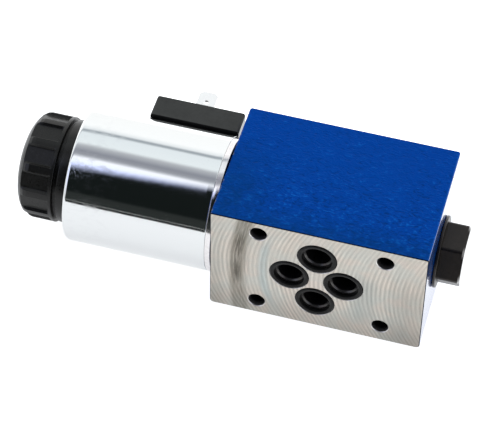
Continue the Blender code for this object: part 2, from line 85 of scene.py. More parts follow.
# ================================================================== node helpers
class Graph:
    """Small wrapper that builds a material's node tree."""

    def __init__(self, name):
        self.mat = bpy.data.materials.new(name)
        self.mat.use_nodes = True
        self.nt = self.mat.node_tree
        self.bsdf = self.nt.nodes["Principled BSDF"]
        self.x = 0
        self._coord = None

    def node(self, kind, **props):
        n = self.nt.nodes.new(kind)
        self.x -= 40
        n.location = (self.x, 0)
        for k, v in props.items():
            setattr(n, k, v)
        return n

    def put(self, sock, v):
        if isinstance(v, bpy.types.NodeSocket):
            self.nt.links.new(v, sock)
        elif v is not None:
            sock.default_value = v

    def set(self, **kw):
        for k, v in kw.items():
            self.put(self.bsdf.inputs[k.replace("_", " ")], v)

    def coord(self):
        """Object coordinates in millimetres."""
        if self._coord is None:
            tc = self.node("ShaderNodeTexCoord")
            m = self.node("ShaderNodeVectorMath", operation="SCALE")
            self.put(m.inputs[0], tc.outputs["Object"])
            m.inputs["Scale"].default_value = 1000.0
            self._coord = m.outputs["Vector"]
        return self._coord

    def xyz(self, v=None):
        s = self.node("ShaderNodeSeparateXYZ")
        self.put(s.inputs[0], v if v is not None else self.coord())
        return s.outputs[0], s.outputs[1], s.outputs[2]

    def combine(self, x, y, z):
        c = self.node("ShaderNodeCombineXYZ")
        for i, v in enumerate((x, y, z)):
            self.put(c.inputs[i], v)
        return c.outputs[0]

    def scaled(self, vec, s, off=(0, 0, 0)):
        m = self.node("ShaderNodeVectorMath", operation="MULTIPLY_ADD")
        self.put(m.inputs[0], vec)
        m.inputs[1].default_value = s
        m.inputs[2].default_value = off
        return m.outputs[0]

    def math(self, op, a, b=None, c=None, clamp=False):
        m = self.node("ShaderNodeMath", operation=op, use_clamp=clamp)
        for i, v in enumerate((a, b, c)):
            if v is not None:
                self.put(m.inputs[i], v)
        return m.outputs[0]

    def step(self, v, a, b, lo=0.0, hi=1.0):
        """Smooth ramp of v from a (lo) to b (hi)."""
        m = self.node("ShaderNodeMapRange", interpolation_type="SMOOTHSTEP", clamp=True)
        self.put(m.inputs["Value"], v)
        m.inputs["From Min"].default_value = a
        m.inputs["From Max"].default_value = b
        m.inputs["To Min"].default_value = lo
        m.inputs["To Max"].default_value = hi
        return m.outputs["Result"]

    def lin(self, v, a, b, lo, hi):
        m = self.node("ShaderNodeMapRange", clamp=True)
        self.put(m.inputs["Value"], v)
        m.inputs["From Min"].default_value = a
        m.inputs["From Max"].default_value = b
        m.inputs["To Min"].default_value = lo
        m.inputs["To Max"].default_value = hi
        return m.outputs["Result"]

    def window(self, v, a, b, soft):
        """1 between a and b, falling to 0 over soft on both sides."""
        return self.math("MULTIPLY", self.step(v, a - soft, a + soft),
                         self.step(v, b - soft, b + soft, 1.0, 0.0))

    def noise(self, vec=None, scale=1.0, detail=2.0, rough=0.5, distortion=0.0):
        n = self.node("ShaderNodeTexNoise")
        self.put(n.inputs["Vector"], vec if vec is not None else self.coord())
        n.inputs["Scale"].default_value = scale
        n.inputs["Detail"].default_value = detail
        n.inputs["Roughness"].default_value = rough
        n.inputs["Distortion"].default_value = distortion
        return n.outputs["Fac"]

    def voronoi(self, vec, scale, feature="F1", rnd=1.0):
        n = self.node("ShaderNodeTexVoronoi", feature=feature)
        self.put(n.inputs["Vector"], vec)
        n.inputs["Scale"].default_value = scale
        n.inputs["Randomness"].default_value = rnd
        return n.outputs["Distance"]

    def mix(self, fac, a, b, blend="MIX"):
        m = self.node("ShaderNodeMix", data_type="RGBA", blend_type=blend)
        m.clamp_factor = True
        self.put(m.inputs["Factor"], fac)
        for sock, v in ((m.inputs["A"], a), (m.inputs["B"], b)):
            pass
        cols = [s for s in m.inputs if s.type == "RGBA"]
        for sock, v in zip(cols, (a, b)):
            self.put(sock, (v[0], v[1], v[2], 1.0) if isinstance(v, tuple) else v)
        return [s for s in m.outputs if s.type == "RGBA"][0]

    def bump(self, height, strength=0.5, distance=0.1 * MM, normal=None):
        b = self.node("ShaderNodeBump")
        b.inputs["Strength"].default_value = strength
        b.inputs["Distance"].default_value = distance
        self.put(b.inputs["Height"], height)
        if normal is not None:
            self.put(b.inputs["Normal"], normal)
        return b.outputs["Normal"]


# ================================================================== materials
def paint_material(name, ends=False):
    """Spray paint over cast iron. The block's ends carry a thicker, glossier coat."""
    g = Graph(name)
    x, y, z = g.xyz()
    flow = g.scaled(g.coord(), (0.55, 1.0, 1.0))
    warp = g.noise(g.coord(), 0.35, 2.0, 0.5)
    grain = g.noise(flow, 0.58, 3.0, 0.50, 1.4)
    fine = g.noise(flow, 1.7, 2.0, 0.5, 0.6)
    broad = g.noise(g.coord(), 0.050, 2.0, 0.5)
    tone = g.math("ADD", g.math("MULTIPLY", grain, 0.62), g.math("MULTIPLY", fine, 0.38))
    # the orange peel is coarser towards the mounting face
    coarse = g.lin(y, 8.0, 36.0, 1.15, 0.62)
    tone = g.math("ADD", g.math("MULTIPLY", g.math("SUBTRACT", tone, 0.5), coarse), 0.5)
    # partly painted highlight: the mottle's lightest blue stands in for the orange peel's highlights, the
    # darker tones are the paint's own mottling
    dark, mid, light = (0.0001, 0.036, 0.195), (0.0001, 0.050, 0.302), (0.0025, 0.100, 0.440)
    col = g.mix(g.step(tone, 0.36, 0.50), dark, mid)
    col = g.mix(g.step(tone, 0.53, 0.68), col, light)
    col = g.mix(g.lin(broad, 0.35, 0.7, 0.0, 0.25), col, (0.0, 0.058, 0.325))
    # painted shade: the paint turns darker and greener towards the mounting face, and towards the left end
    # nearer that face
    shade_l = g.math("MULTIPLY", g.step(x, -12.0, -32.0), g.step(y, 40.0, 10.0))
    edge = g.math("MAXIMUM", g.math("MULTIPLY", g.step(y, 11.0, 0.3), 0.85), shade_l)
    col = g.mix(g.math("MULTIPLY", edge, g.lin(warp, 0.3, 0.7, 0.35, 0.75)), col,
                (0.0003, 0.036, 0.150))
    lip = g.step(y, 0.75, 0.1)
    col = g.mix(g.math("MULTIPLY", lip, 0.60), col, (0.0004, 0.022, 0.105))
    # painted highlight: a lighter blue over the last 0.75 mm of the right-hand end, on its rounded edge
    # and its end face
    painted_end_highlight = g.math("MULTIPLY", g.step(x, mm(body_hi.x) - 0.75, mm(body_hi.x) - 0.30),
                   g.lin(warp, 0.35, 0.6, 0.25, 0.9))
    col = g.mix(g.math("MULTIPLY", painted_end_highlight, 0.40), col, (0.012, 0.150, 0.520))
    # chips on the edges
    n = g.noise(g.coord(), 1.3, 3.0, 0.6)
    far = g.step(y, mm(body_hi.y) - 0.60, mm(body_hi.y) - 0.15)
    left = g.step(x, mm(body_lo.x) + 0.55, mm(body_lo.x) + 0.1)
    crest = g.step(z, mm(body_hi.z) - 0.75, mm(body_hi.z) - 0.25)
    rim = g.math("MULTIPLY", g.math("MAXIMUM", far, left), g.step(n, 0.53, 0.61))
    rim = g.math("MULTIPLY", rim, crest)
    col = g.mix(g.math("MULTIPLY", rim, 0.75), col, (0.20, 0.24, 0.28))
    h = g.math("ADD", grain, g.math("MULTIPLY", fine, 0.35))
    g.set(Base_Color=col, Metallic=0.0)
    if ends:
        g.set(Roughness=0.16, Coat_Weight=1.0, Coat_Roughness=0.07,
              Normal=g.bump(h, 0.10, 0.04 * MM))
        g.set(**{"Specular IOR Level": 0.5})
    else:
        g.set(Roughness=g.lin(fine, 0.3, 0.7, 0.30, 0.42), Normal=g.bump(h, 0.75, 0.34 * MM))
        g.set(**{"Specular IOR Level": 0.016})
    return g.mat


def milled_material(name, a, b, radius, centre, feed, tint=(1, 1, 1), stain_and_painted_light=False):
    """Face-milled cast iron: arcs of one cutter radius, centre moving along axis a."""
    g = Graph(name)
    comp = g.xyz()
    pa, pb = comp[a], comp[b]
    wob = g.noise(g.coord(), 0.12, 2.0, 0.5)
    db = g.math("SUBTRACT", pb, centre)
    inner = g.math("SQRT", g.math("SUBTRACT", radius * radius, g.math("MULTIPLY", db, db)))
    u = g.math("ADD", pa, g.math("SUBTRACT", inner, radius))
    uw = g.math("ADD", u, g.math("MULTIPLY", wob, 0.5))
    ph = g.math("MULTIPLY", uw, 2 * math.pi / feed)
    s1 = g.math("SINE", ph)
    s2 = g.math("SINE", g.math("ADD", g.math("MULTIPLY", ph, 3.0), 1.3))
    # fine scratches that follow the arcs
    arc = g.combine(g.math("MULTIPLY", uw, 6.0), g.math("MULTIPLY", pb, 0.25), 0.0)
    scr = g.noise(arc, 1.0, 3.0, 0.6)
    arc2 = g.combine(g.math("MULTIPLY", uw, 1.4), g.math("MULTIPLY", pb, 0.05), 4.0)
    band = g.noise(arc2, 1.0, 2.0, 0.5)
    blotch = g.noise(g.coord(), 0.10, 3.0, 0.55)
    speck = g.noise(g.coord(), 1.9, 3.0, 0.65)
    warm, cool, pink = (0.610, 0.560, 0.487), (0.572, 0.560, 0.500), (0.640, 0.562, 0.490)
    col = g.mix(g.step(blotch, 0.38, 0.60), cool, warm)
    col = g.mix(g.step(g.noise(g.coord(), 0.21, 2.0, 0.5), 0.50, 0.68, 0.0, 0.55), col, pink)
    # the cutter's ridges fade in and out across the face
    fade = g.lin(g.noise(g.coord(), 0.085, 2.0, 0.5), 0.35, 0.65, 0.35, 1.25)
    ridge = g.math("MULTIPLY", fade, g.math("ADD", g.math("MULTIPLY", s1, 0.140),
                                            g.math("MULTIPLY", s2, 0.030)))
    tone = g.math("ADD", ridge, g.math("ADD", g.lin(scr, 0.3, 0.7, -0.12, 0.12),
                                       g.lin(band, 0.3, 0.7, -0.06, 0.06)))
    mult = g.math("ADD", g.math("ADD", tone, g.lin(speck, 0.3, 0.7, -0.05, 0.05)), 1.0)
    if stain_and_painted_light:
        # dark band where oil dried in the cutter's marks, a bluish arc and patch beside it
        dz = g.math("ADD", pb, 3.0)
        big = g.math("SQRT", g.math("SUBTRACT", 110.0 ** 2, g.math("MULTIPLY", dz, dz)))
        us = g.math("ADD", pa, g.math("SUBTRACT", big, 110.0))
        streak = g.noise(g.combine(g.math("MULTIPLY", us, 2.4), g.math("MULTIPLY", pb, 0.13), 2.0),
                         1.0, 3.0, 0.62)
        lane = g.window(us, -28.3, -23.3, 0.9)
        top = g.lin(pb, -20.0, 10.0, 0.74, 1.0)
        dirt = g.math("MULTIPLY", g.math("MULTIPLY", lane, top), g.lin(streak, 0.30, 0.60, 0.55, 1.0))
        col = g.mix(g.math("MULTIPLY", dirt, 0.86), col, (0.190, 0.172, 0.132))
        heart = g.math("MULTIPLY", g.math("MULTIPLY", g.window(us, -27.0, -24.6, 0.7),
                                          g.window(pb, -9.0, 14.0, 4.0)),
                       g.lin(streak, 0.34, 0.58, 0.0, 1.0))
        col = g.mix(g.math("MULTIPLY", heart, 0.66), col, (0.070, 0.062, 0.046))
        wet = g.math("MULTIPLY", g.window(us, -23.6, -22.0, 0.5), g.lin(streak, 0.35, 0.65, 0.0, 1.0))
        col = g.mix(g.math("MULTIPLY", wet, 0.40), col, (0.30, 0.275, 0.225))
        # painted shade: the face darkens towards its left end, more so towards the bottom
        left = g.math("MULTIPLY", g.step(pa, -27.5, -33.0), g.step(pb, 16.0, -14.0, 0.35, 1.0))
        col = g.mix(g.math("MULTIPLY", left, 0.42), col, (0.34, 0.31, 0.262))
        blue = g.math("MULTIPLY", g.window(u, -18.8, -16.2, 1.0), g.window(pb, -16.0, 14.0, 4.0))
        col = g.mix(g.math("MULTIPLY", blue, 0.60), col, (0.430, 0.500, 0.488))
        patch = g.math("MULTIPLY", g.window(pa, 12.0, 19.5, 2.6), g.window(pb, -14.0, 6.0, 4.0))
        col = g.mix(g.math("MULTIPLY", patch, 0.62), col, (0.385, 0.420, 0.392))
        # painted light: a lighter, warmer band across the middle of the face
        painted_light_band = g.window(pa, -2.5, 3.0, 2.0)
        col = g.mix(g.math("MULTIPLY", painted_light_band, 0.30), col, (0.70, 0.62, 0.55))
        # painted shade: the face darkens towards the bottom and towards its lower right
        low = g.step(pb, -8.0, -21.0)
        mult = g.math("MULTIPLY", mult, g.lin(low, 0.0, 1.0, 1.0, 0.76))
        right = g.math("MULTIPLY", g.step(pa, 17.0, 30.0), g.step(pb, 16.0, -2.0, 0.25, 1.0))
        mult = g.math("MULTIPLY", mult, g.lin(right, 0.0, 1.0, 1.0, 0.77))
    col = g.mix(1.0, col, g.combine(mult, mult, mult), "MULTIPLY")
    if tint != (1, 1, 1):
        col = g.mix(1.0, col, tint, "MULTIPLY")
    h = g.math("ADD", g.math("MULTIPLY", s1, 0.5),
               g.math("ADD", g.math("MULTIPLY", s2, 0.25), g.math("MULTIPLY", scr, 0.5)))
    g.set(Base_Color=col, Metallic=0.72, Roughness=g.lin(scr, 0.3, 0.7, 0.36, 0.50),
          Normal=g.bump(h, 0.30, 0.012 * MM))
    return g.mat


def bored_material():
    """Bored and drilled cast iron, oily dark, a rusty tone here and there, turning near black deeper in
    each hole as painted shade.
    """
    g = Graph("bored_iron")
    x, y, z = g.xyz()
    ring = g.math("SINE", g.math("MULTIPLY", y, 9.0))
    rust = g.step(g.noise(g.coord(), 0.9, 3.0, 0.6), 0.50, 0.66)
    col = g.mix(rust, (0.15, 0.145, 0.135), (0.15, 0.125, 0.105))
    lip = g.step(y, 0.34, 0.16)                          # the bright chamfer round each mouth
    col = g.mix(g.math("MULTIPLY", lip, 0.9), col, (0.72, 0.70, 0.66))
    # painted shade: near black deeper in each hole
    painted_depth_shade = g.step(y, 0.5, 2.6)
    col = g.mix(g.math("MULTIPLY", painted_depth_shade, 0.93), col, (0.010, 0.0095, 0.009))
    g.set(Base_Color=col, Metallic=0.65, Roughness=g.lin(rust, 0, 1, 0.28, 0.45),
          Normal=g.bump(ring, 0.15, 0.02 * MM))
    return g.mat


def chrome_material():
    g = Graph("bright_plate")
    x, y, z = g.xyz()
    cy = g.math("SUBTRACT", y, mm(AX_Y))
    ang = g.math("ARCTAN2", z, cy)                       # round the sleeve, radians
    arc = g.math("MULTIPLY", ang, mm(can_hi.z - can_lo.z) / 2)
    sheet = g.combine(x, arc, 0.0)
    drawn = g.noise(g.scaled(sheet, (0.05, 1.5, 1.0)), 1.0, 3.0, 0.6)     # marks along the sleeve
    dents = g.noise(g.scaled(sheet, (0.16, 0.22, 1.0)), 1.0, 2.0, 0.5)
    haze = g.noise(g.scaled(sheet, (0.35, 0.6, 1.0)), 1.0, 4.0, 0.65)
    micro = g.noise(g.scaled(sheet, (2.4, 3.4, 1.0)), 1.0, 3.0, 0.6)
    # scuffed patch near the closed end, and a few pinpricks
    worn = g.math("MULTIPLY", g.window(x, -83.0, -69.0, 2.5), g.step(haze, 0.46, 0.62))
    prick = g.step(g.voronoi(g.scaled(sheet, (0.30, 0.42, 1.0)), 1.0), 0.060, 0.030)
    scr = g.step(g.noise(g.scaled(sheet, (0.25, 7.0, 1.0)), 1.0, 2.0, 0.7), 0.64, 0.72)
    scr2 = g.step(g.noise(g.scaled(sheet, (6.0, 0.35, 1.0)), 1.0, 2.0, 0.7), 0.66, 0.74)
    mark = g.math("MAXIMUM", g.math("MULTIPLY", scr, 0.35), g.math("MULTIPLY", scr2, 0.25))
    mark = g.math("MAXIMUM", mark, g.math("MULTIPLY", worn, 0.42))
    mark = g.math("MAXIMUM", mark, g.math("MULTIPLY", prick, 0.9), clamp=True)
    # rubbed spot by the closed end, crossed by short scratches round the sleeve
    rub_n = g.noise(g.scaled(sheet, (1.5, 0.8, 1.0)), 1.0, 3.0, 0.7)
    rub = g.math("MULTIPLY", g.window(x, -84.0, -75.5, 2.6), g.window(ang, 2.14, 2.36, 0.07))
    rub = g.math("MULTIPLY", rub, g.step(rub_n, 0.44, 0.62))
    hair_n = g.noise(g.scaled(sheet, (3.4, 0.16, 1.0)), 1.0, 2.0, 0.6)
    hair = g.math("MULTIPLY", g.window(x, -83.0, -66.0, 2.0), g.window(ang, 2.2, 2.75, 0.15))
    hair = g.math("MULTIPLY", hair, g.step(hair_n, 0.62, 0.70))
    mark = g.math("MAXIMUM", mark, g.math("MAXIMUM", rub, g.math("MULTIPLY", hair, 0.55)), clamp=True)
    rough = g.math("ADD", g.lin(haze, 0.3, 0.7, 0.050, 0.080), g.math("MULTIPLY", mark, 0.20))
    col = g.mix(g.math("MULTIPLY", mark, 0.30), (0.765, 0.780, 0.778), (0.68, 0.69, 0.70))
    n1 = g.bump(dents, 0.5, 0.018 * MM)
    n2 = g.bump(drawn, 0.30, 0.004 * MM, n1)
    n3 = g.bump(micro, 0.20, 0.002 * MM, n2)
    g.set(Base_Color=col, Metallic=1.0, Roughness=rough, Normal=n3)
    return g.mat


def zinc_material():
    """Bright zinc on the end plate, a little warmer than the sleeve."""
    g = Graph("bright_zinc")
    n = g.noise(g.coord(), 0.8, 3.0, 0.6)
    col = g.mix(g.lin(n, 0.3, 0.7, 0.0, 1.0), (0.76, 0.735, 0.730), (0.84, 0.82, 0.82))
    g.set(Base_Color=col, Metallic=1.0, Roughness=g.lin(n, 0.3, 0.7, 0.08, 0.16),
          Normal=g.bump(n, 0.15, 0.01 * MM))
    return g.mat


def plastic_material(name, rgb, rough, grain=0.9, spec=0.5, bump=0.25, lift=1.0):
    g = Graph(name)
    a = g.noise(g.coord(), grain, 3.0, 0.55)
    b = g.noise(g.coord(), 4.5, 2.0, 0.6)
    c = g.noise(g.coord(), 0.11, 2.0, 0.5)
    lo = tuple(v * 0.82 for v in rgb)
    hi = tuple(v * 1.2 * lift for v in rgb)
    col = g.mix(g.lin(c, 0.3, 0.7, 0.0, 1.0), lo, hi)
    col = g.mix(g.step(b, 0.66, 0.78, 0.0, 0.4), col, tuple(min(1.0, v * 2.2) for v in rgb))
    g.set(Base_Color=col, Roughness=g.lin(a, 0.3, 0.7, rough - 0.06, rough + 0.08), Metallic=0.0,
          Normal=g.bump(g.math("ADD", a, g.math("MULTIPLY", b, 0.6)), bump, 0.03 * MM))
    g.set(**{"Specular IOR Level": spec})
    return g.mat


def rubber_material():
    g = Graph("nbr_rubber_moulded")
    a = g.noise(g.coord(), 2.0, 3.0, 0.6)
    dust = g.step(g.noise(g.coord(), 0.8, 3.0, 0.6), 0.52, 0.68)
    col = g.mix(g.math("MULTIPLY", dust, 0.6), (0.0052, 0.0051, 0.0044), (0.0150, 0.0142, 0.0112))
    g.set(Base_Color=col, Roughness=g.lin(a, 0.3, 0.7, 0.30, 0.46), Metallic=0.0,
          Normal=g.bump(a, 0.20, 0.02 * MM))
    g.set(**{"Specular IOR Level": 0.17})
    return g.mat


def oxide_material(name="burnished_steel", bright=False):
    """Burnished brown-black steel."""
    g = Graph(name)
    a = g.noise(g.coord(), 0.45, 3.0, 0.6)
    f = g.noise(g.coord(), 3.6, 3.0, 0.6)
    x, y, z = g.xyz()
    col = g.mix(g.step(a, 0.38, 0.64), (0.0055, 0.0046, 0.0036), (0.0095, 0.0075, 0.0060))
    col = g.mix(g.step(f, 0.62, 0.75, 0.0, 0.5), col, (0.026, 0.020, 0.015))
    g.set(Base_Color=col, Metallic=0.0, Roughness=g.lin(f, 0.3, 0.7, 0.27, 0.40),
          Normal=g.bump(f, 0.22, 0.02 * MM))
    g.set(**{"Specular IOR Level": 0.36, "Specular Tint": (1.0, 0.90, 0.84, 1.0)})
    if bright:
        g.set(Roughness=0.14, Coat_Weight=1.0, Coat_Roughness=0.10)
    return g.mat


def turned_metal(name, rgb, rough=0.28, pitch=0.35, axis=0, cross=None, spread=0.12):
    """Turned, plated or drawn metal with fine rings along one axis."""
    g = Graph(name)
    comp = g.xyz()
    w = g.noise(g.coord(), 0.3, 2.0, 0.5)
    ring = g.math("SINE", g.math("MULTIPLY", g.math("ADD", comp[axis], g.math("MULTIPLY", w, 0.4)),
                                 2 * math.pi / pitch))
    n = g.noise(g.coord(), 1.6, 3.0, 0.6)
    col = g.mix(g.lin(n, 0.3, 0.7, 0.0, 1.0), tuple(v * (1 - spread) for v in rgb),
                tuple(min(1.0, v * (1 + spread)) for v in rgb))
    g.set(Base_Color=col, Metallic=1.0, Roughness=g.lin(n, 0.3, 0.7, rough - 0.05, rough + 0.09),
          Normal=g.bump(ring, 0.18, 0.008 * MM))
    return g.mat


def winding_material():
    g = Graph("enamelled_winding")
    x, y, z = g.xyz()
    wire = g.math("SINE", g.math("MULTIPLY", x, 2 * math.pi / 0.45))
    # painted shade: the copper darkens in the grooves between the turns
    col = g.mix(g.step(wire, -0.8, 0.4), (0.20, 0.060, 0.020), (0.66, 0.25, 0.095))
    g.set(Base_Color=col, Metallic=0.85, Roughness=0.32, Normal=g.bump(wire, 0.6, 0.12 * MM))
    return g.mat


def plate_material():
    """Blank brushed plate with a fine engraved border."""
    g = Graph("blank_plate")
    x, y, z = g.xyz()
    brush = g.noise(g.combine(g.math("MULTIPLY", x, 0.18), 0.0, g.math("MULTIPLY", z, 7.0)), 1.0, 3.0, 0.6)
    lo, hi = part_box("name_plate")
    ex = g.math("MINIMUM", g.math("SUBTRACT", x, mm(lo.x)), g.math("SUBTRACT", mm(hi.x), x))
    ez = g.math("MINIMUM", g.math("SUBTRACT", z, mm(lo.z)), g.math("SUBTRACT", mm(hi.z), z))
    d = g.math("MINIMUM", ex, ez)
    line = g.window(d, 0.85, 1.15, 0.06)
    col = g.mix(g.lin(brush, 0.3, 0.7, 0.0, 1.0), (0.55, 0.56, 0.57), (0.74, 0.74, 0.74))
    col = g.mix(line, col, (0.03, 0.03, 0.03))
    g.set(Base_Color=col, Metallic=0.9, Roughness=g.lin(brush, 0.3, 0.7, 0.26, 0.44),
          Normal=g.bump(g.math("SUBTRACT", brush, line), 0.2, 0.03 * MM))
    return g.mat


MAT = {
    "paint": paint_material("blue_paint_cast"),
    "ends": paint_material("blue_paint_ends", True),
    "face": milled_material("milled_face", 0, 2, 43.0, 1.0, 1.42, stain_and_painted_light=True),
    "bore": bored_material(),
    "edge": plastic_material("dark_paint_edge", (0.0020, 0.0065, 0.022), 0.45, 1.2, 0.04, 0.1),
    "chrome": chrome_material(),
    "zinc": zinc_material(),
    "knob": plastic_material("black_grip_plastic", (0.0062, 0.0060, 0.0048), 0.31, 1.3, 0.30, 0.16),
    "grey": plastic_material("dark_grey_moulding", (0.0280, 0.0292, 0.0262), 0.58, 1.1, 0.30, 0.22),
    "nylon": plastic_material("bobbin_nylon", (0.28, 0.26, 0.22), 0.5),
    "rubber": rubber_material(),
    "oxide": oxide_material(),
    "oxide_face": oxide_material("burnished_faced_end", True),
    # the connector's neck and its downward faces: near black, painted shade
    "shade_black": plastic_material("connector_painted_shade_black", (0.006, 0.006, 0.006), 0.6, 1.1, 0.1, 0.1),
    # a lighter, glossier copy of the grey moulding for the end facing right: its lighter colour is painted
    # light
    "grey_lit_end": plastic_material("dark_grey_moulding_lit_end", (0.040, 0.042, 0.039), 0.20, 1.1, 0.5, 0.05),
    "steel": turned_metal("turned_steel", (0.58, 0.58, 0.59), 0.26, 0.4, 0),
    "steel_y": turned_metal("rivet_steel", (0.66, 0.66, 0.67), 0.24, 0.5, 1),
    "brass": turned_metal("turned_brass", (0.74, 0.53, 0.22), 0.25, 0.3, 0),
    "tin": turned_metal("tinned_blade", (0.93, 0.925, 0.91), 0.42, 0.6, 1, spread=0.04),
    "wind": winding_material(),
    "plate": plate_material(),
}


# ================================================================== mesh helpers
def rounded(points, n=4):
    """Closed profile of (along, radius, fillet) with its corners rounded."""
    out = []
    m = len(points)
    for i in range(m):
        ax, ar, _ = points[i - 1]
        px, pr, f = points[i]
        bx, br, _ = points[(i + 1) % m]
        P, A, B = Vector((px, pr)), Vector((ax, ar)), Vector((bx, br))
        if f <= 0 or pr <= 1e-9:
            out.append((px, pr))
            continue
        u, v = A - P, B - P
        lu, lv = u.length, v.length
        u.normalize()
        v.normalize()
        half = math.acos(max(-1.0, min(1.0, u.dot(v)))) / 2
        if abs(math.pi / 2 - half) < 0.02:
            out.append((px, pr))
            continue
        t = min(f / math.tan(half), 0.48 * min(lu, lv))
        p0, p1 = P + u * t, P + v * t
        for k in range(n + 1):
            s = k / n
            q = p0 * (1 - s) ** 2 + P * (2 * s * (1 - s)) + p1 * s * s
            out.append((q.x, q.y))
    return out


def shade(ob, angle=30.0, weighted=True):
    ob.data.shade_smooth()
    ob.data.set_sharp_from_angle(angle=math.radians(angle))
    if weighted:
        m = ob.modifiers.new("flat_faces", "WEIGHTED_NORMAL")
        m.keep_sharp = True
        m.weight = 60
    return ob


def new_object(name, bm, mats, recalc=True):
    if recalc:
        bmesh.ops.recalc_face_normals(bm, faces=bm.faces[:])
    me = bpy.data.meshes.new(name)
    bm.to_mesh(me)
    bm.free()
    ob = bpy.data.objects.new(name, me)
    bpy.context.scene.collection.objects.link(ob)
    for m in mats:
        me.materials.append(m)
    return ob


def spun(name, profile, steps, mats, axis="X", centre=(0.0, 0.0, 0.0), field=None, angle=30.0,
         weighted=False, smooth=True):
    """A closed profile (along, radius) in millimetres, spun about an axis parallel to X or Y.
    field(along, radius, phi) may change a point's radius."""
    bm = bmesh.new()
    rings = []
    for k in range(steps):
        phi = 2 * math.pi * k / steps
        ring = []
        for a, r in profile:
            if r <= 1e-9:
                ring.append(None)
                continue
            rr = field(a, r, phi) if field else r
            c, s = math.cos(phi) * rr, math.sin(phi) * rr
            co = (a, c, s) if axis == "X" else (s, a, c)
            ring.append(bm.verts.new((centre[0] + co[0] * MM, centre[1] + co[1] * MM,
                                      centre[2] + co[2] * MM)))
        rings.append(ring)
    poles = {}
    for i, (a, r) in enumerate(profile):
        if r <= 1e-9:
            co = (a, 0.0, 0.0) if axis == "X" else (0.0, a, 0.0)
            poles[i] = bm.verts.new(tuple(centre[j] + co[j] * MM for j in range(3)))
    n = len(profile)
    for k in range(steps):
        A, B = rings[k], rings[(k + 1) % steps]
        for i in range(n):
            j = (i + 1) % n
            if A[i] is None and A[j] is None:
                continue
            if A[i] is None:
                bm.faces.new((poles[i], B[j], A[j]))
            elif A[j] is None:
                bm.faces.new((A[i], B[i], poles[j]))
            else:
                bm.faces.new((A[i], B[i], B[j], A[j]))
    ob = new_object(name, bm, mats)
    if smooth:
        shade(ob, angle, weighted)
    return ob


def box_bm(lo, hi):
    bm = bmesh.new()
    vs = bmesh.ops.create_cube(bm, size=1.0)["verts"]
    bmesh.ops.scale(bm, vec=[hi[i] - lo[i] for i in range(3)], verts=vs)
    bmesh.ops.translate(bm, vec=[(hi[i] + lo[i]) / 2 for i in range(3)], verts=vs)
    return bm


def bevel(bm, width, segs, pick):
    edges = [e for e in bm.edges if pick(e)]
    bmesh.ops.bevel(bm, geom=edges, offset=width, segments=segs, profile=0.5,
                    affect="EDGES", clamp_overlap=True)


def along(e, axis):
    d = (e.verts[1].co - e.verts[0].co).normalized()
    return abs(d[axis]) > 0.99


def cut(ob, cutter, op="DIFFERENCE"):
    m = ob.modifiers.new("b", "BOOLEAN")
    m.operation = op
    m.solver = "EXACT"
    m.material_mode = "TRANSFER"
    m.object = cutter
    bpy.context.view_layer.objects.active = ob
    with bpy.context.temp_override(object=ob, active_object=ob, selected_objects=[ob]):
        bpy.ops.object.modifier_apply(modifier=m.name)
    bpy.data.objects.remove(cutter, do_unlink=True)


def place(ob, body, node):
    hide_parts(node)
    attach(ob, body)
    return ob


